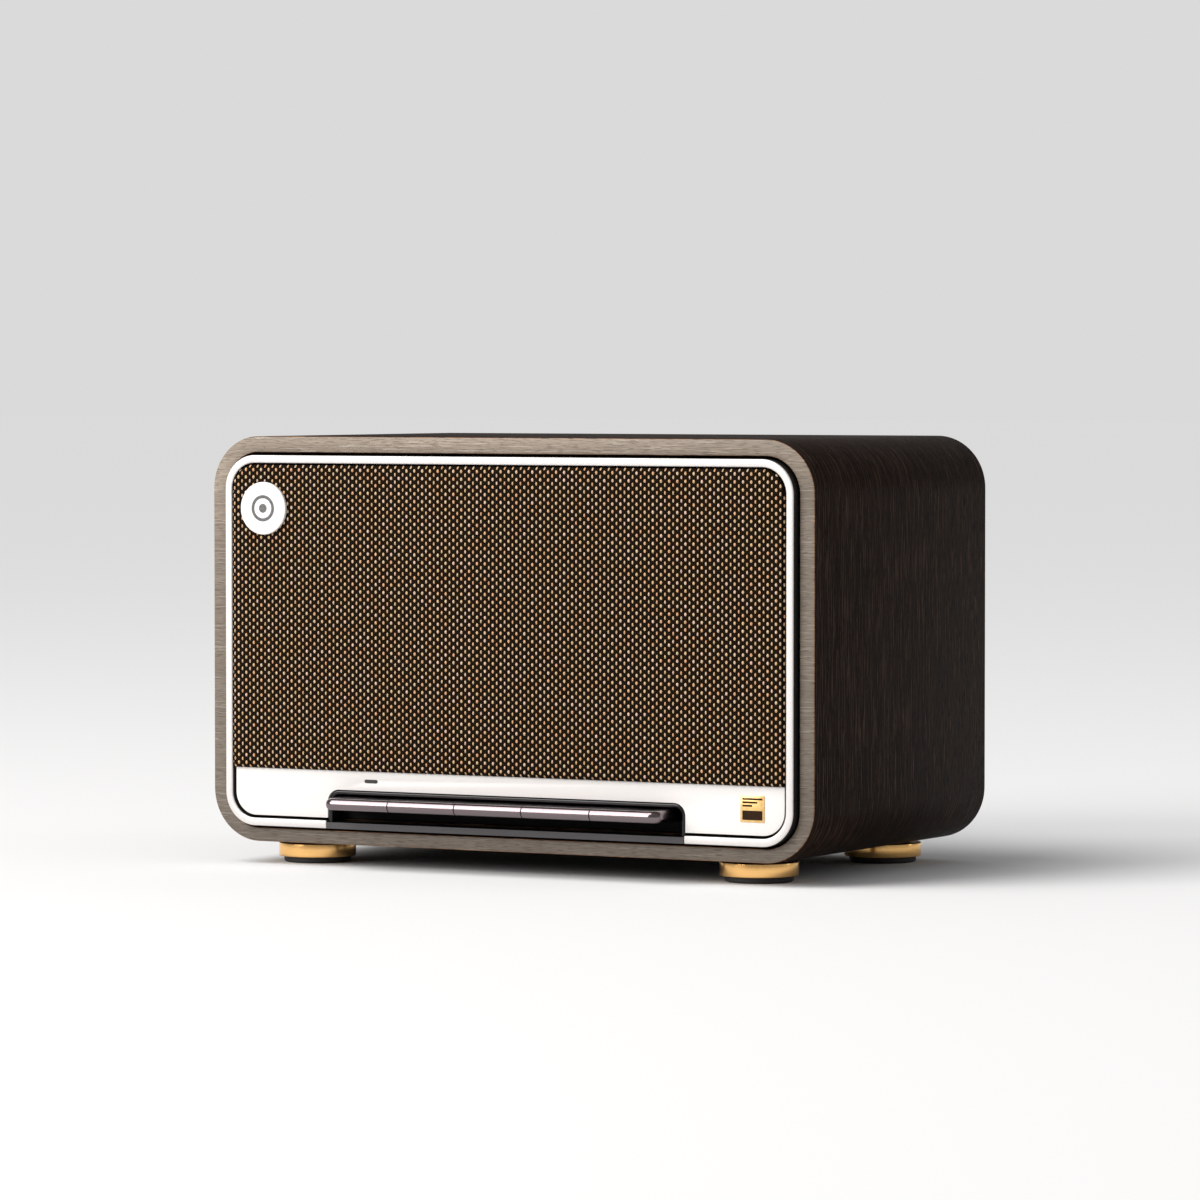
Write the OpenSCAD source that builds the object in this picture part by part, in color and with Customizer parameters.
// Tabletop loudspeaker in a wrapped wooden cabinet, with piano keys under a cloth grille.
// Millimetres. +Z up. The origin is at the bottom centre of the whole object, on the surface it stands on.
// Every module is drawn in the cabinet's own frame: x = 0 on the centre line, y = 0 on the cabinet's
// front rim with +Y to the back, z = 0 under the cabinet. place() then moves it into the part's frame.

/* [Cabinet] */
// Width of the wooden cabinet
cabinet_width = 270; // [244:1:324]
// Height of the wooden cabinet, without its feet
cabinet_height = 162; // [156:1:195]
// Depth of the wooden cabinet
cabinet_depth = 152; // [146:1:183]
// Radius of the cabinet's outer corners
corner_radius = 21; // [17.5:0.5:25.5]
// Thickness of the cabinet's wall
cabinet_wall = 10; // [9:0.5:12]
// Width of wood left showing around the front
rim_width = 6.4; // [5.5:0.1:6.8]
// Width of wood left showing around the back
rear_rim_width = 5.5; // [4.6:0.1:6]
// Depth of the step behind the rear panel's edge
rear_recess = 7; // [6:0.5:9]

/* [Front trim] */
// Distance from the cabinet's side and top to the outside of the trim ring
ring_inset = 7.5; // [7:0.1:8]
// How much nearer the trim ring lies to the cabinet's underside than to its top
ring_drop = 1; // [0.8:0.1:1.2]
// Width of the trim ring's face
ring_width = 3.1; // [2.6:0.1:3.7]
// How far the trim ring stands in front of the rim
ring_proud = 3.3; // [2.75:0.05:4]
// Depth of the pocket that the trim ring sits in
ring_pocket = 6; // [5:0.5:6.5]
// Height of the lower panel above the key well
panel_margin = 7.6; // [6.4:0.1:9.1]
// Thickness of the lower panel
panel_thickness = 2.5; // [2.1:0.1:3]
// How far the lower panel's face stands in front of the rim
panel_proud = 2; // [1.7:0.1:2.4]
// Gap around the lower panel
panel_gap = 1.1; // [0.9:0.1:1.3]

/* [Grille] */
// How far the cloth's face stands in front of the rim
grille_proud = 4.2; // [3.5:0.1:5]
// Gap between the trim ring and the cloth
grille_gap = 0.7; // [0.5:0.1:0.8]
// Thickness of the cloth
cloth_thickness = 0.7; // [0.6:0.05:0.84]
// Thickness of the frame that the cloth is stretched over
grille_frame_thickness = 4.5; // [3.8:0.1:5]
// Width of the driver's edge that each window in the frame covers
window_overlap = 6.5; // [5.5:0.1:7.8]
// Radius of the grille frame's pegs
peg_radius = 2.9; // [2.4:0.1:3.5]

/* [Badge, label and lens] */
// Diameter of the round badge
badge_diameter = 21; // [17.5:0.5:25]
// Thickness of the badge
badge_thickness = 1.5; // [1.2:0.1:1.8]
// Distance from the grille's left and top edges to the badge's centre
badge_inset = [15.4, 17.3];
// Width and height of the foil label
label_size = [10.4, 10.2];
// Width and height of the status lens
lens_size = [6.1, 1.5];

/* [Keys] */
// Number of keys
key_count = 5; // [4:1:6]
// Distance from one key to the next
key_pitch = 30.2; // [25.2:0.1:36.2]
// Gap between two keys
key_gap = 0.4; // [0.3:0.05:0.5]
// How far the keys' noses stand in front of the rim
key_proud = 15.2; // [13:0.1:18]
// Height of a key's top at the nose, above the cabinet's floor
key_rise = 9.3; // [9.1:0.1:11]
// Fall of a key's top from the well to the nose
key_slope = 0.3; // [0.2:0.05:0.4]
// Radius of a key's nose
nose_radius = 2.3; // [1.9:0.05:2.5]
// Radius of the end keys' outer corners, seen from above
key_corner = 4.5; // [3.8:0.1:5.4]
// Wall thickness of the key surround
surround_wall = 1.7; // [1.4:0.1:2]
// Gap between the keys and the hood over them
hood_gap = 0.5; // [0.4:0.05:0.6]
// Free space beside the outer keys
well_side_gap = 5; // [4:0.5:6]
// Distance of the key axle behind the rim
axle_y = 26; // [24:0.5:31]
// Radius of the key axle
axle_radius = 1.5; // [1.25:0.05:1.8]

/* [Woofer] */
// Radius of the woofer's flange
woofer_radius = 54; // [50:0.5:58]
// Width of the woofer's flange outside its hole in the baffle
woofer_flange = 6; // [5:0.5:7]
// Width of the rubber edge between the cone and the basket
edge_width = 5.5; // [4.6:0.1:6.6]
// Outer radius of the magnet
magnet_radius = 36; // [35:0.5:43]
// Thickness of the magnet
magnet_thickness = 14; // [11.5:0.5:17]
// Radius of the voice coil's former
former_radius = 13; // [11:0.5:15.5]

/* [Tweeters] */
// Radius of a tweeter's dome
dome_radius = 12.5; // [10.5:0.5:15]
// Width of the motor around the dome
tweeter_motor_wall = 5; // [4.2:0.1:6]
// Width of a tweeter's face plate outside its motor
tweeter_flange = 8.5; // [8:0.5:10]
// Length of a tweeter's motor
tweeter_motor_length = 17; // [14:0.5:20.5]

/* [Back] */
// Thickness of the rear panel
rear_panel_thickness = 4; // [3.3:0.1:4.8]
// Inner radius of the bass port
port_radius = 17; // [14:0.5:20.5]
// Length of the bass port
port_length = 54; // [45:1:65]
// Distance from the cabinet's top to the bass port's centre
port_drop = 46; // [42:1:54]
// Distance from one socket to the next
socket_pitch = 23; // [19:0.5:28]
// Height of the socket plate
jack_plate_height = 24; // [21:0.5:28]
// Thickness of the socket plate
jack_plate_thickness = 1.6; // [1.3:0.1:2]

/* [Feet] */
// Radius of a foot
foot_radius = 15.5; // [13:0.5:18.5]
// Full height of a foot
foot_height = 9; // [7.5:0.1:10.8]
// Distance from the cabinet's side to a foot's centre
foot_inset_x = 35; // [29:0.5:42]
// Distance from the cabinet's front and back to a foot's centre
foot_inset_y = 22; // [19:0.5:26]

/* [Hidden] */
$fn = 96;

// Clearances
fit = 0.2;                // between pieces that slot into each other
running_fit = 0.05;       // between the axle and the keys that turn on it
held_fit = 0.03;          // between the axle and the cheeks that hold it
screw_fit = 0.05;         // between a screw and its hole

// Where the part's frame is: the keys' noses and the cabinet's back are the ends along Y
front_y = key_proud - (cabinet_depth + key_proud) / 2;

// Baffle
baffle_y = 8;
baffle_thickness = 9;
baffle_back = baffle_y + baffle_thickness;

// Lower panel, and the well that the keys stand in
keys_width = key_count * key_pitch;
key_nose_top = cabinet_wall + key_rise;
key_back_top = key_nose_top + key_slope;
well_width = keys_width + 2 * well_side_gap;
well_corner = 5;
ring_bottom = ring_inset - ring_drop;
well_floor = ring_bottom + 2.5;
well_top = key_back_top + hood_gap + surround_wall + fit;
surround_front = panel_proud - 0.2;
panel_top = well_top + panel_margin;
panel_inset = ring_inset + ring_width + panel_gap;
panel_back = panel_thickness - panel_proud;
post_radius = 3;
post_x = [well_width / 2 + 8, cabinet_width / 2 - panel_inset - 10];
post_z = panel_top - 9.4;

// Grille
grille_inset = ring_inset + ring_width + grille_gap;
grille_bottom = panel_top + fit;
grille_top = cabinet_height - grille_inset;
grille_z = (grille_bottom + grille_top) / 2;
grille_half_width = cabinet_width / 2 - grille_inset;
frame_front = cloth_thickness - grille_proud;
frame_back = frame_front + grille_frame_thickness;
peg_x = [woofer_radius + 4, grille_half_width - 10];
peg_z = [grille_bottom + 10, grille_top - 10];
peg_length = 5;

// Drivers
tweeter_motor_radius = dome_radius + tweeter_motor_wall;
tweeter_radius = tweeter_motor_radius + tweeter_flange;
tweeter_x = (woofer_radius + grille_half_width) / 2;
screw_circle_woofer = woofer_radius - 2.5;
screw_circle_tweeter = tweeter_radius - 3.2;
tweeter_collar = tweeter_motor_radius + 1.5;
woofer_cutout = woofer_radius - woofer_flange;
basket_inner = woofer_cutout - 2.5;
basket_rear = magnet_radius - 1;
ledge_inner = basket_rear - 5;
ledge_depth = 26;
tag_radius = basket_rear + 6;
cone_radius = basket_inner - edge_width;
motor_front = 32;                     // woofer's top plate, behind the baffle's face
top_plate_thickness = 5;
magnet_front = motor_front + top_plate_thickness;
yoke_front = magnet_front + magnet_thickness;
yoke_thickness = 5;
roll_radius = edge_width / 2 + 0.45;
roll_centre = cone_radius + edge_width / 2;
edge_thickness = 0.7;

// Key mechanism
carrier_thickness = 1.6;
board_z = cabinet_wall + carrier_thickness;
board_thickness = 1.2;
mat_z = board_z + board_thickness;
mat_thickness = 0.5;
dome_y = 15;
arm_thickness = 4;
arm_bottom = key_nose_top - arm_thickness + 0.2;
arm_top = arm_bottom + arm_thickness;
axle_z = (arm_bottom + arm_top) / 2;
boss_radius = axle_radius + 2.5;
cheek_thickness = 2.4;
notch_top = well_top + 3;
lens_z = panel_top - 3.9;
cap_height = 5.3;
lip_thickness = 1.2;

// Back
rear_panel_y = cabinet_depth - rear_recess;
rear_face = rear_panel_y + rear_panel_thickness;
port_z = cabinet_height - port_drop;
port_wall = 2;
port_mouth = port_radius + 7;
port_flange = port_radius + 13;
port_flange_thickness = 1.6;
port_back = rear_face + port_flange_thickness;
main_board_z = cabinet_wall + 5;
main_board_size = [100, 62, 1.6];
main_board_y = rear_panel_y - 1 - main_board_size.y;
chip_height = 1.5;
main_board_top = main_board_z + main_board_size.z;
socket_z = main_board_top + 5.8;
jack_z = socket_z + 1.6;
jack_face = rear_face + jack_plate_thickness;
dc_x = -1.5 * socket_pitch;
aux_x = -0.5 * socket_pitch;
usb_x = 0.5 * socket_pitch;
button_x = 1.5 * socket_pitch;
jack_plate_size = [3 * socket_pitch + 36, jack_plate_height];
aux_bore = 1.85;
aux_depth = 15;
rear_screw_inset = (rear_rim_width + cabinet_wall) / 2;
rear_screw_head = rear_screw_inset - rear_rim_width - 0.15;

// Battery
cell_radius = 9.2;
cell_length = 65;
cell_pitch = 18.8;
cell_x = 66;
cell_y = rear_panel_y - 14 - cell_length;
tray_thickness = 1.2;
cell_z = cabinet_wall + tray_thickness + cell_radius + 0.02;

// Feet
neck_height = 1;
pad_radius = foot_radius - 2.1;
pad_height = 3.7;
pad_recess = 1.2;
foot_screw_bite = 7;
foot_x = cabinet_width / 2 - foot_inset_x;
foot_y = [foot_inset_y, cabinet_depth - foot_inset_y];

// ---------------------------------------------------------------- shapes

// From the cabinet's own frame to the part's frame
module place() {
    translate([0, front_y, foot_height]) children();
}

// A flat outline in X and Z, carried from depth y0 to depth y1
module slab(y0, y1) {
    translate([0, y1, 0]) rotate([90, 0, 0]) linear_extrude(y1 - y0) children();
}

// A flat outline in Y and Z, carried along X and centred on it
module across(width) {
    rotate([90, 0, 90]) linear_extrude(width, center = true) children();
}

// An outline of radius and depth, turned about the Y axis
module turned() {
    rotate([-90, 0, 0]) rotate_extrude() children();
}

// A cylinder along Y
module rod(radius, y0, y1) {
    translate([0, y0, 0]) rotate([-90, 0, 0]) cylinder(r = radius, h = y1 - y0);
}

module rounded_rect(w, h, r) {
    square([w - 2 * r, h], center = true);
    square([w, h - 2 * r], center = true);
    for (sx = [-1, 1], sy = [-1, 1]) translate([sx * (w / 2 - r), sy * (h / 2 - r)]) circle(r);
}

// The cabinet's front outline, taken in from its sides by inset
module face(inset) {
    translate([0, cabinet_height / 2])
        rounded_rect(cabinet_width - 2 * inset, cabinet_height - 2 * inset, corner_radius - inset);
}

// The outline of the pieces inside the trim ring's pocket, which lie nearer the cabinet's underside
module front_face(inset) {
    translate([0, (cabinet_height - ring_drop) / 2])
        rounded_rect(cabinet_width - 2 * inset, cabinet_height + ring_drop - 2 * inset, corner_radius - inset);
}

// The opening that the keys stand in, taken in by inset, and open below
module well(inset) {
    w = well_width - 2 * inset;
    r = well_corner - inset;
    top = well_top - inset;
    translate([-w / 2, 0]) square([w, top - r]);
    translate([-w / 2 + r, 0]) square([w - 2 * r, top]);
    for (s = [-1, 1]) translate([s * (w / 2 - r), top - r]) circle(r);
}

// The grille's outline, taken in by inset
module grille_outline(inset) {
    intersection() {
        front_face(grille_inset + inset);
        translate([-cabinet_width, grille_bottom + inset]) square([2 * cabinet_width, cabinet_height]);
    }
}

module stadium(w, h) {
    square([w - h, h], center = true);
    for (s = [-1, 1]) translate([s * (w - h) / 2, 0]) circle(h / 2, $fn = 24);
}

module at_pegs() {
    for (s = [-1, 1], x = peg_x, z = peg_z) translate([s * x, z]) children();
}

module at_posts() {
    for (s = [-1, 1], x = post_x) translate([s * x, post_z]) children();
}

// Centre of key number i, counted from the left
function key_x(i) = (i - (key_count - 1) / 2) * key_pitch;

// Points of an arc about centre c, from angle a0 to a1
function arc(c, r, a0, a1, steps = 12) =
    [for (i = [0:steps]) let (a = a0 + (a1 - a0) * i / steps) c + r * [cos(a), sin(a)]];

// A countersunk or pan screw along +Y: its head stands in front of y = 0
module screw(radius, length, head_radius, head_height) {
    rod(radius, 0, length);
    difference() {
        rod(head_radius, -head_height, 0);
        for (a = [0, 90]) translate([0, -head_height, 0]) rotate([0, a, 0])
            cube([head_radius * 1.1, head_height, 0.7], center = true);
    }
}

// ---------------------------------------------------------------- cabinet and front

// Wrapped wooden shell, open at the front and the back
module cabinet_shell() color("#3a2a22") place() difference() {
    slab(0, cabinet_depth) face(0);
    slab(-1, cabinet_depth + 1) face(cabinet_wall);
    slab(-1, ring_pocket) front_face(rim_width);
    slab(rear_panel_y, cabinet_depth + 1) face(rear_rim_width);
    for (s = [-1, 1], y = foot_y) translate([s * foot_x, y, -1]) cylinder(r = 2, h = 1 + foot_screw_bite);
    at_rear_screws() rod(1.4, rear_panel_y - 9, rear_panel_y + 1);
}

// Board that the drivers are screwed to, with a notch over the key mechanism
module front_baffle() color("#2b2622") place() slab(baffle_y, baffle_back) difference() {
    face(cabinet_wall + fit);
    translate([0, grille_z]) circle(woofer_cutout);
    for (s = [-1, 1]) translate([s * tweeter_x, grille_z]) circle(tweeter_collar + fit);
    translate([-well_width / 2 - 1, 0]) square([well_width + 2, notch_top]);
    at_pegs() circle(peg_radius + screw_fit);
    at_posts() circle(1.6);
    at_driver_screws() circle(1.4);
}

// Silver frame around the grille and the panel, cut away under the keys
module trim_ring() color("#dcd8d4") place() slab(-ring_proud, ring_pocket) difference() {
    front_face(ring_inset);
    front_face(ring_inset + ring_width);
    translate([-well_width / 2, 0]) square([well_width, ring_inset + 2 * ring_width]);
}

// Silver lower panel with the key well and the lens slot cut out, and its screw posts
module fascia_panel() color("#e4e0dc") place() {
    slab(-panel_proud, panel_back) difference() {
        intersection() {
            front_face(panel_inset);
            translate([-cabinet_width / 2, 0]) square([cabinet_width, panel_top]);
        }
        well(0);
        translate([key_x(0), lens_z]) stadium(lens_size.x, lens_size.y);
    }
    slab(panel_back, baffle_y) at_posts() difference() {
        circle(post_radius);
        circle(1.25);
    }
}

// Dark glossy hood around the keys, with the sill that closes the ring below them and a lip behind them
module key_surround() color("#1c1a1b") place() {
    w = well_width - 2 * fit;
    slab(-surround_front, baffle_y) difference() {
        intersection() {
            well(fit);
            translate([-w / 2, cabinet_wall + fit]) square([w, well_top]);
        }
        well(surround_wall + fit);
    }
    for (s = [-1, 1]) translate([s * (w - surround_wall) / 2, -surround_front, well_floor])
        translate([-surround_wall / 2, 0, 0])
            cube([surround_wall, surround_front + ring_pocket, cabinet_wall + fit - well_floor]);
    translate([-w / 2, -ring_proud + 0.2, ring_bottom])
        cube([w, ring_pocket + ring_proud - 0.2, well_floor - ring_bottom]);
    translate([-w / 2 + surround_wall / 2, baffle_y - lip_thickness, cabinet_wall + fit])
        cube([w - surround_wall, lip_thickness, arm_bottom - 1.4 - cabinet_wall - fit]);
}

// Stiff frame with a window in front of each driver, and pegs that push into the baffle
module grille_frame() color("#151413") place() {
    slab(frame_front, frame_back) difference() {
        grille_outline(cloth_thickness);
        translate([0, grille_z]) circle(woofer_radius - window_overlap);
        for (s = [-1, 1]) translate([s * tweeter_x, grille_z]) circle(tweeter_radius - window_overlap);
    }
    slab(frame_back, baffle_y + peg_length) at_pegs() circle(peg_radius);
}

// Woven cloth over the frame's face and sides
module grille_cloth() color("#4a3624") place() difference() {
    slab(-grille_proud, frame_back - 0.5) grille_outline(0);
    slab(frame_front, frame_back + 1) grille_outline(cloth_thickness);
}

module badge() color("#f2f0ee") place()
    translate([badge_inset.x - grille_half_width, -grille_proud, grille_top - badge_inset.y])
        rod(badge_diameter / 2, -badge_thickness, 0);

module foil_label() color("#d9ae58") place()
    translate([cabinet_width / 2 - 25.4, -panel_proud, post_z + 0.6])
        slab(-0.2, 0) square(label_size, center = true);

// Dark lens with a light guide behind it
module status_lens() color("#2a2626") place() translate([key_x(0), 0, lens_z])
    slab(-panel_proud, baffle_y - 1) stadium(lens_size.x - 0.1, lens_size.y - 0.1);

// ---------------------------------------------------------------- keys

// The side view of a key's cap, with its rounded nose
module cap_side() {
    nose_y = nose_radius - key_proud;
    translate([nose_y, key_nose_top - nose_radius]) circle(nose_radius);
    polygon([[nose_y, key_nose_top], [nose_y, key_nose_top - 2 * nose_radius], [-2, key_nose_top - cap_height],
        [6, key_nose_top - cap_height], [6, key_back_top], [-2, key_back_top]]);
}

// The plan of a cap, with a round corner on side s, or on none where s is 0
module cap_plan(s) {
    w = key_pitch - key_gap;
    r = key_corner;
    translate([-w / 2, r - key_proud]) square([w, key_proud + 7 - r]);
    if (s == 0) translate([-w / 2, -key_proud]) square([w, 2 * r]);
    else {
        translate([(s < 0 ? r : 0) - w / 2, -key_proud]) square([w - r, 2 * r]);
        translate([s * (w / 2 - r), r - key_proud]) circle(r);
    }
}

// One key: a cap, an arm through the baffle and a boss on the axle
module key(i) color("#8d868b") place() translate([key_x(i), 0, 0]) difference() {
    union() {
        intersection() {
            across(key_pitch - key_gap) cap_side();
            linear_extrude(cabinet_height) cap_plan(i == 0 ? -1 : i == key_count - 1 ? 1 : 0);
        }
        across(key_pitch / 2) translate([5, arm_bottom]) square([axle_y - 5, arm_top - arm_bottom]);
        translate([0, axle_y, axle_z]) rotate([0, 90, 0])
            cylinder(r = boss_radius, h = key_pitch - cheek_thickness - 1, center = true);
    }
    translate([0, axle_y, axle_z]) rotate([0, 90, 0])
        cylinder(r = axle_radius + running_fit, h = key_pitch, center = true);
}

module key_axle() color("#b9bcc0") place() translate([0, axle_y, axle_z]) rotate([0, 90, 0])
    cylinder(r = axle_radius, h = keys_width + 2 * cheek_thickness, center = true);

// Bracket on the cabinet's floor, with a cheek on each side of every key
module key_carrier() color("#26282b") place() difference() {
    union() {
        translate([-keys_width / 2 - cheek_thickness, baffle_y + 1, cabinet_wall])
            cube([keys_width + 2 * cheek_thickness, axle_y + 8 - baffle_y - 1, carrier_thickness]);
        for (i = [0:key_count]) translate([(i - key_count / 2) * key_pitch, 0, 0])
            across(cheek_thickness) {
                translate([axle_y - 5, board_z - 0.5]) square([10, axle_z - board_z + 0.5]);
                translate([axle_y, axle_z]) circle(5);
            }
    }
    translate([0, axle_y, axle_z]) rotate([0, 90, 0])
        cylinder(r = axle_radius + held_fit, h = cabinet_width, center = true);
}

module key_board() color("#1d5a3a") place() translate([-keys_width / 2, baffle_y + 2, board_z])
    cube([keys_width, axle_y - 5.5 - baffle_y - 2, board_thickness]);

// Rubber mat with one dome under each key's arm
module key_domes() color("#a9a7a2") place() {
    dome_height = arm_bottom - 0.1 - mat_z - mat_thickness;
    translate([-keys_width / 2 + 1, dome_y - 4.5, mat_z]) cube([keys_width - 2, 9, mat_thickness]);
    for (i = [0:key_count - 1]) translate([key_x(i), dome_y, mat_z + mat_thickness])
        cylinder(r1 = 4, r2 = 2.6, h = dome_height);
}

// ---------------------------------------------------------------- woofer

module at_woofer() {
    place() translate([0, baffle_y, grille_z]) children();
}

module at_driver_screws() {
    for (a = [45:90:315]) translate([0, grille_z]) rotate(a) translate([screw_circle_woofer, 0]) children();
    for (s = [-1, 1], a = [90:120:330]) translate([s * tweeter_x, grille_z]) rotate(a)
        translate([screw_circle_tweeter, 0]) children();
}

// Pressed steel basket: flange, open conical wall, and a rear ring with a strip for the leads
module woofer_basket() color("#2c2d30") at_woofer() difference() {
    union() {
        turned() polygon([[basket_inner + 3.5, -3], [woofer_radius, -3], [woofer_radius, 0],
            [woofer_cutout - 0.5, 0], [woofer_cutout - 0.5, 3], [basket_rear, 29], [basket_rear, motor_front],
            [former_radius + 7, motor_front], [former_radius + 7, 30], [ledge_inner, 30],
            [ledge_inner, ledge_depth], [basket_rear - 0.4, ledge_depth], [basket_inner, 2.4],
            [basket_inner, -1], [basket_inner + 3.5, -1]]);
        translate([-9, motor_front - 2, -tag_radius]) cube([18, 2, tag_radius - basket_rear + 2]);
    }
    for (a = [0:60:300]) rotate([0, a, 0]) translate([-10, 6, 30]) cube([20, 17, 30]);
    for (a = [45:90:315]) rotate([0, a, 0]) translate([screw_circle_woofer, 0, 0]) rod(2.2, -4, 1);
}

module woofer_top_plate() color("#9a9da1") at_woofer() turned()
    translate([former_radius + 1.2, motor_front]) square([magnet_radius - former_radius - 3.2, top_plate_thickness]);

module woofer_magnet() color("#3a3a3d") at_woofer() turned()
    translate([former_radius + 5, magnet_front]) square([magnet_radius - former_radius - 5, magnet_thickness]);

// Rear plate and vented pole in one piece
module woofer_yoke() color("#9a9da1") at_woofer() turned()
    polygon([[4, motor_front - 1], [former_radius - 1, motor_front - 1], [former_radius - 1, yoke_front],
        [magnet_radius, yoke_front], [magnet_radius, yoke_front + yoke_thickness], [4, yoke_front + yoke_thickness]]);

// Corrugated suspension between the former and the basket's inner ledge
module woofer_spider() color("#c8a24a") at_woofer() turned() {
    inner = former_radius + 0.05;
    front = ledge_depth - 0.6;
    waves = 4;
    wave_width = (ledge_inner - inner - 3) / (2 * waves);
    crest = [for (i = [0:2 * waves]) [inner + 2 + i * wave_width, front - (i % 2 == 0 ? 0 : 1.6)]];
    rear = [for (i = [2 * waves:-1:0]) crest[i] + [0, 0.6]];
    polygon(concat([[inner, front]], crest, [[basket_rear - 0.8, front], [basket_rear - 0.8, ledge_depth]], rear,
        [[inner, ledge_depth]]));
}

// Rubber half-roll between the cone and the basket, with a flat lip on each side
module woofer_edge() color("#232325") at_woofer() turned() {
    lip = asin(edge_thickness / roll_radius);
    polygon(concat([[cone_radius - 2.3, -1], [cone_radius - 2.3, -1 - edge_thickness]],
        arc([roll_centre, -1], roll_radius, -180 + lip, -lip),
        [[basket_inner + 3.4, -1 - edge_thickness], [basket_inner + 3.4, -1]],
        arc([roll_centre, -1], roll_radius - edge_thickness, 0, -180)));
}

cone_slope = (17.5 + 1) / (cone_radius - 2.5 - former_radius - 0.05);
function cone_front(r) = -1 + (cone_radius - 2.5 - r) * cone_slope;

module woofer_cone() color("#37373a") at_woofer() turned()
    polygon([[cone_radius, -1], [cone_radius - 2.5, -1], [former_radius + 0.05, 17.5], [former_radius + 0.05, 19.2],
        [cone_radius - 3, 0.3], [cone_radius, 0.3]]);

// A dome of base radius r and height h with its base at depth d, as an outline of radius and depth
module dome(r, h, d, wall) {
    sphere_radius = (r * r + h * h) / (2 * h);
    span = asin(r / sphere_radius);
    centre = [0, d - h + sphere_radius];
    inner_span = acos((sphere_radius - h) / (sphere_radius - wall));
    polygon(concat(arc(centre, sphere_radius, -90, -90 + span), arc(centre, sphere_radius - wall, -90 + inner_span, -90)));
}

module woofer_dust_cap() color("#2a2a2d") at_woofer() turned() dome(16, 7, cone_front(16) - 0.05, 0.8);

// Paper former with its copper winding
module woofer_voice_coil() color("#b5763a") at_woofer() turned()
    polygon([[former_radius - 0.45, 15.5], [former_radius, 15.5], [former_radius, 29], [former_radius + 0.6, 29],
        [former_radius + 0.6, 41], [former_radius - 0.45, 41]]);

// ---------------------------------------------------------------- tweeters

// side is -1 for the left tweeter and 1 for the right one
module at_tweeter(side) {
    place() translate([side * tweeter_x, baffle_y, grille_z]) children();
}

// Face plate with a short horn mouth and a collar that passes through the baffle
module tweeter_plate(side) color("#262629") at_tweeter(side) difference() {
    turned() polygon([[dome_radius + 2.6, 0.5], [dome_radius + 7, -2.5], [tweeter_radius - 0.5, -2.5],
        [tweeter_radius, -2], [tweeter_radius, 0], [tweeter_collar, 0], [tweeter_collar, 3],
        [tweeter_motor_radius, 3], [tweeter_motor_radius, 2.2], [dome_radius + 2.6, 2.2]]);
    for (a = [90:120:330]) rotate([0, -a, 0]) translate([screw_circle_tweeter, 0, 0]) rod(1.7, -4, 1);
}

// Silk dome with its short former
module tweeter_dome(side) color("#4b4a4f") at_tweeter(side) turned() {
    dome(dome_radius, 4, 2.4, 0.4);
    translate([dome_radius - 0.4, 2.4 - 0.1]) square([0.4, 5.5]);
}

module tweeter_motor(side) color("#77797d") at_tweeter(side) turned()
    polygon([[0, 3], [dome_radius - 0.9, 3], [dome_radius - 0.9, 10], [dome_radius + 0.7, 10], [dome_radius + 0.7, 3],
        [tweeter_motor_radius, 3], [tweeter_motor_radius, 3 + tweeter_motor_length], [0, 3 + tweeter_motor_length]]);

// Narrow rolls that hold both domes
module tweeter_edges() color("#333236") for (side = [-1, 1]) at_tweeter(side) turned() {
    centre = [dome_radius + 1.3, 2.9];
    polygon(concat(arc(centre, 1.25, 0, -180), arc(centre, 0.85, -180, 0)));
    translate([dome_radius + 2.15, 2.5]) square([2.2, 0.4]);
}

// Screws of the drivers from the front, and of the lower panel from behind
module baffle_screws() color("#8f9195") place() {
    for (a = [45:90:315]) translate([0, baffle_y - 3, grille_z]) rotate([0, -a, 0])
        translate([screw_circle_woofer, 0, 0]) screw(1.35, 10, 2.9, 1.4);
    for (s = [-1, 1], a = [90:120:330]) translate([s * tweeter_x, baffle_y - 2.5, grille_z]) rotate([0, -a, 0])
        translate([screw_circle_tweeter, 0, 0]) screw(1.35, 9, 2.6, 1.2);
    for (s = [-1, 1], x = post_x) translate([s * x, baffle_back, post_z]) rotate([180, 0, 0]) screw(1.2, 14, 3, 1.6);
}

// ---------------------------------------------------------------- back

module at_rear_screws() {
    half = cabinet_width / 2 - rear_screw_inset;
    for (s = [-1, 1]) {
        for (z = [cabinet_height / 4, cabinet_height * 3 / 4]) translate([s * half, 0, z]) children();
        for (z = [rear_screw_inset, cabinet_height - rear_screw_inset])
            translate([s * cabinet_width / 5, 0, z]) children();
    }
}

module at_jack_screws() {
    for (sx = [-1, 1], sz = [-1, 1])
        translate([sx * (jack_plate_size.x / 2 - 3), 0, jack_z + sz * (jack_plate_size.y / 2 - 3)]) children();
}

module rear_panel() color("#1b1a1a") place() difference() {
    slab(rear_panel_y, rear_face) difference() {
        face(rear_rim_width + fit);
        translate([0, port_z]) circle(port_mouth + 1 + fit);
        translate([0, jack_z]) square([jack_plate_size.x - 12, 2 * (jack_z - main_board_top + fit)], center = true);
    }
    at_rear_screws() rod(1.7, rear_panel_y - 1, rear_face + 1);
    at_jack_screws() rod(1.2, rear_panel_y - 1, rear_face + 1);
}

// Flared tube that the bass port breathes through
module port_tube() color("#161616") place() translate([0, 0, port_z]) turned() {
    outer = port_radius + port_wall;
    flare = port_mouth - port_radius;
    polygon(concat([[outer, port_back - port_length], [outer, rear_panel_y - 9], [port_mouth + 1, rear_panel_y],
        [port_mouth + 1, rear_face], [port_flange, rear_face], [port_flange, port_back]],
        [for (i = [0:8]) let (a = 90 * i / 8) [port_mouth - flare * sin(a), port_back - flare * 1.6 * (1 - cos(a))]],
        [[port_radius, port_back - port_length]]));
}

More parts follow.
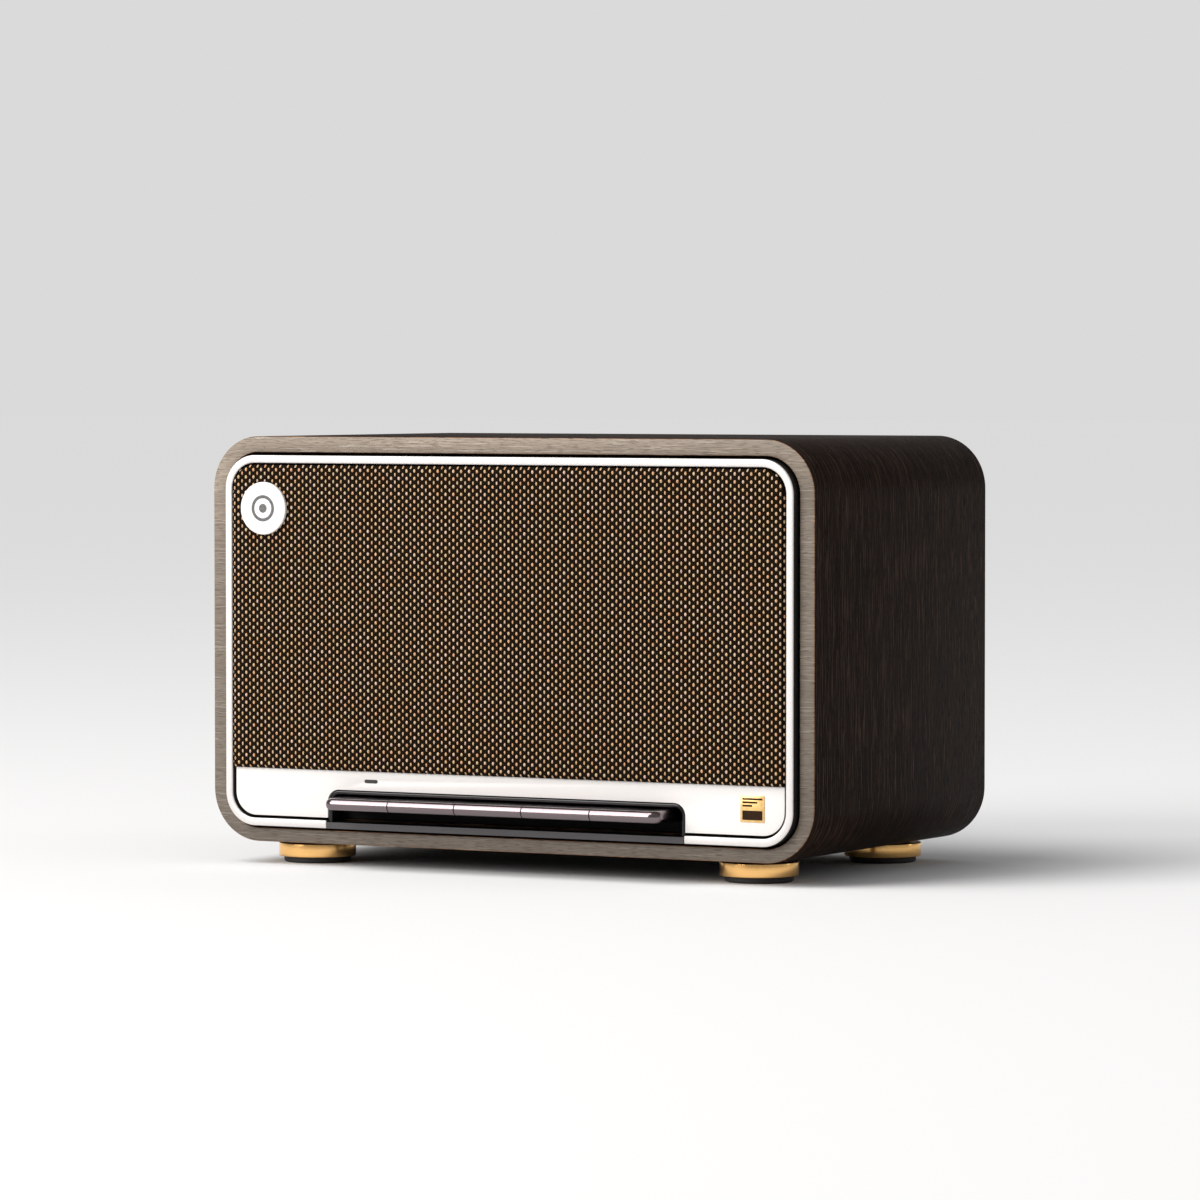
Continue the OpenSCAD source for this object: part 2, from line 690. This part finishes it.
module jack_plate() color("#202022") place() difference() {
    slab(rear_face, jack_face) difference() {
        translate([0, jack_z]) rounded_rect(jack_plate_size.x, jack_plate_size.y, 3);
        translate([dc_x, socket_z]) circle(4.5 + 0.1);
        translate([aux_x, socket_z]) circle(3.4 + 0.1);
        translate([usb_x, socket_z]) stadium(9.4, 3.7);
        translate([button_x, socket_z]) circle(2.6 + fit);
    }
    at_jack_screws() rod(1.3, rear_face - 1, jack_face + 1);
}

// Barrel power inlet with its centre pin
module dc_socket() color("#19191b") place() translate([dc_x, 0, socket_z]) {
    difference() {
        union() {
            translate([-5.5, rear_face - 14, main_board_top - socket_z])
                cube([11, 14, 2 * (socket_z - main_board_top)]);
            rod(4.5, rear_face - 0.1, jack_face);
        }
        rod(3.1, rear_face - 9, jack_face + 1);
    }
    rod(1, rear_face - 9.5, jack_face - 1);
}

// 3.5 mm line input
module aux_socket() color("#1a1a1c") place() translate([aux_x, 0, socket_z]) difference() {
    union() {
        translate([-4.5, rear_face - 15.5, main_board_top - socket_z])
            cube([9, 15.5, 2 * (socket_z - main_board_top)]);
        rod(3.4, rear_face - 0.1, jack_face);
    }
    rod(aux_bore, jack_face - aux_depth, jack_face + 1);
}

// USB-C receptacle: steel shell with its tongue, on a plastic base
module usb_socket() color("#a7aab0") place() translate([usb_x, 0, socket_z]) {
    slab(rear_face - 8, jack_face - 0.2) difference() {
        stadium(9, 3.3);
        stadium(8.4, 2.7);
    }
    slab(rear_face - 8, rear_face - 6.5) stadium(9, 3.3);
    slab(rear_face - 7, jack_face - 1.2) square([6.7, 0.7], center = true);
    translate([-4, rear_face - 8, main_board_top - socket_z]) cube([8, 7, socket_z - main_board_top - 1.6]);
}

// Push button with a collar that keeps it behind the socket plate
module pairing_button() color("#3b3b3e") place() translate([button_x, 0, socket_z]) {
    rod(2.6, rear_face - 1.6, jack_face + 0.9);
    rod(3.7, rear_face - 1.6, rear_face - 0.1);
    rod(1.4, rear_face - 5.5, rear_face - 1.6);
}

module rear_screws() color("#232325") place() {
    at_rear_screws() translate([0, rear_face, 0]) rotate([180, 0, 0]) screw(1.35, 12, rear_screw_head, 1.5);
    at_jack_screws() translate([0, jack_face, 0]) rotate([180, 0, 0]) screw(1.15, 5, 2.1, 1.1);
}

// ---------------------------------------------------------------- electronics and power

// Main board with its chips and the switch behind the button
module amplifier_board() color("#1f6a44") place() {
    translate([-main_board_size.x / 2, main_board_y, main_board_z]) cube(main_board_size);
    translate([0, main_board_y, main_board_top - 0.1]) {
        translate([20, 34, 0]) cube([10, 10, 1.4]);
        translate([-44, 40, 0]) cube([8, 6, 1.4]);
        translate([-24, 8, 0]) cube([12, 9, chip_height + 0.1]);
    }
    translate([button_x - 3, rear_face - 11.5, main_board_top - 0.1])
        cube([6, 5, socket_z + 3 - main_board_top]);
}

module board_standoffs() color("#c9a95a") place()
    for (sx = [-1, 1], y = [5, main_board_size.y - 22])
        translate([sx * (main_board_size.x / 2 - 4), main_board_y + y, cabinet_wall])
            cylinder(r = 2.5, h = main_board_z - cabinet_wall, $fn = 6);

// Finned block over the amplifier chip
module heat_sink() color("#a8abae") place() translate([-40, main_board_y + 6, main_board_top + chip_height]) {
    fins = 8;
    fin = 1.6;
    size = [40, 30, 22];
    cube([size.x, size.y, 3]);
    for (i = [0:fins - 1]) translate([i * (size.x - fin) / (fins - 1), 0, 0]) cube([fin, size.y, size.z]);
}

module board_capacitors() color("#2c3350") place()
    for (x = [12, 25, 38], y = [7, 20]) translate([x, main_board_y + y, main_board_top])
        cylinder(r = 5, h = 18);

module battery_cells() color("#4a78a8") place()
    for (i = [0:2]) translate([cell_x + i * cell_pitch, cell_y, cell_z]) rod(cell_radius, 0, cell_length);

// Tray with end walls that holds the cells on the cabinet's floor
module battery_tray() color("#2b2b2e") place() {
    width = 3 * cell_pitch + 2;
    x0 = cell_x - cell_pitch / 2 - 1;
    translate([x0, cell_y - 2.7, cabinet_wall]) cube([width, cell_length + 5.4, tray_thickness]);
    for (y = [cell_y - 2.7, cell_y + cell_length + 0.7]) translate([x0, y, cabinet_wall]) cube([width, 2, 14]);
}

// ---- driver leads: a wire's points are joined by a smooth curve, then a ring is swept along it
lead_radius = 0.8;
lead_sides = 8;
lead_start = [0, main_board_y + 2.5, main_board_top];
tag_end = [0, baffle_y + motor_front, grille_z - tag_radius + 2.5];
motor_end = [tweeter_x, baffle_y + 3 + tweeter_motor_length, grille_z - 10];

// Out of the board, and in to a driver, each lead runs straight for 8 mm
function from_board(x) = [for (z = [0, 4, 8]) lead_start + [x, 0, z]];
function to_driver(end) = [for (y = [8, 4, 0]) end + [0, y, 0]];
lead_routes = [
    concat(from_board(-4), [[-4, 72, 34], [-5, 58, 40]], to_driver(tag_end - [6, 0, 0])),
    concat(from_board(-12), [[-24, 74, 30], [-52, 62, 34], [-76, 54, 48]],
        to_driver([-motor_end.x, motor_end.y, motor_end.z])),
    concat(from_board(4), [[18, 74, 30], [46, 62, 36], [72, 54, 50]], to_driver(motor_end))
];

function unit(v) = v / norm(v);
function spline(p0, p1, p2, p3, t) =
    0.5 * (2 * p1 + (p2 - p0) * t + (2 * p0 - 5 * p1 + 4 * p2 - p3) * t * t + (3 * p1 - p0 - 3 * p2 + p3) * t * t * t);
function smooth(p, steps = 3) = let (n = len(p)) concat(
    [for (i = [0:n - 2], k = [0:steps - 1]) spline(p[max(i - 1, 0)], p[i], p[i + 1], p[min(i + 2, n - 1)], k / steps)],
    [p[n - 1]]);
function heading(p, i) = unit(p[min(i + 1, len(p) - 1)] - p[max(i - 1, 0)]);
function lead_ring(p, i) =
    let (d = heading(p, i), u = unit(cross(d, [0.93, 0.21, 0.3])), v = cross(d, u))
    [for (k = [0:lead_sides - 1]) p[i] + lead_radius * (cos(360 * k / lead_sides) * u + sin(360 * k / lead_sides) * v)];

module lead(route) {
    p = smooth(route);
    n = len(p);
    s = lead_sides;
    polyhedron(
        points = [for (i = [0:n - 1]) each lead_ring(p, i)],
        faces = concat([[for (k = [0:s - 1]) k]], [[for (k = [s - 1:-1:0]) (n - 1) * s + k]],
            [for (i = [0:n - 2], k = [0:s - 1]) each
                [[i * s + k, (i + 1) * s + k, i * s + (k + 1) % s],
                [i * s + (k + 1) % s, (i + 1) * s + k, (i + 1) * s + (k + 1) % s]]]));
}

module driver_leads() color("#a32a24") place() for (route = lead_routes) lead(route);

// ---------------------------------------------------------------- feet

// sx is -1 on the left and 1 on the right, and row is 0 at the front and 1 at the back
module at_foot(sx, row) {
    place() translate([sx * foot_x, foot_y[row], 0]) children();
}

// Turned metal ring with a neck above and a recess below for the pad and the screw's head
module foot_ring(sx, row) color("#d6a55c") at_foot(sx, row) rotate_extrude() {
    bottom = -(foot_height - pad_height + pad_recess);
    polygon([[2.2, 0], [foot_radius - 4.5, 0], [foot_radius - 4.5, -neck_height], [foot_radius - 0.5, -neck_height],
        [foot_radius, -neck_height - 0.5], [foot_radius, bottom + 0.4], [foot_radius - 0.4, bottom],
        [pad_radius + 0.1, bottom], [pad_radius + 0.1, bottom + pad_recess], [4.2, bottom + pad_recess],
        [4.2, bottom + pad_recess + 2.5], [2.2, bottom + pad_recess + 2.5]]);
}

// Rubber pad with an eased lower edge
module foot_pad(sx, row) color("#141414") at_foot(sx, row) rotate_extrude()
    polygon([[0, -foot_height], [pad_radius - 1, -foot_height], [pad_radius, -foot_height + 1],
        [pad_radius, pad_height - foot_height], [0, pad_height - foot_height]]);

module foot_screws() color("#8d8f93") for (sx = [-1, 1], row = [0, 1])
    at_foot(sx, row) {
        top = pad_height - foot_height + 2.5;
        translate([0, 0, top - 2.3]) cylinder(r = 4, h = 2.3);
        translate([0, 0, top - 0.01]) cylinder(r = 2 - screw_fit, h = foot_screw_bite - top - 0.2);
    }

// ---------------------------------------------------------------- nodes

cabinet_shell();
front_baffle();
trim_ring();
fascia_panel();
key_surround();
grille_frame();
grille_cloth();
badge();
foil_label();
status_lens();
key(0);  // source_key
key(1);  // volume_down_key
key(2);  // play_key
key(3);  // volume_up_key
key(4);  // skip_key
key_axle();
key_carrier();
key_board();
key_domes();
woofer_basket();
woofer_magnet();
woofer_top_plate();
woofer_yoke();
woofer_spider();
woofer_edge();
woofer_cone();
woofer_dust_cap();
woofer_voice_coil();
tweeter_plate(-1);  // tweeter_plate_left
tweeter_plate(1);  // tweeter_plate_right
tweeter_dome(-1);  // tweeter_dome_left
tweeter_dome(1);  // tweeter_dome_right
tweeter_motor(-1);  // tweeter_motor_left
tweeter_motor(1);  // tweeter_motor_right
tweeter_edges();
baffle_screws();
rear_panel();
port_tube();
jack_plate();
dc_socket();
aux_socket();
usb_socket();
pairing_button();
rear_screws();
amplifier_board();
board_standoffs();
heat_sink();
board_capacitors();
battery_cells();
battery_tray();
driver_leads();
foot_ring(-1, 0);  // foot_ring_front_left
foot_ring(1, 0);  // foot_ring_front_right
foot_ring(-1, 1);  // foot_ring_rear_left
foot_ring(1, 1);  // foot_ring_rear_right
foot_pad(-1, 0);  // foot_pad_front_left
foot_pad(1, 0);  // foot_pad_front_right
foot_pad(-1, 1);  // foot_pad_rear_left
foot_pad(1, 1);  // foot_pad_rear_right
foot_screws();
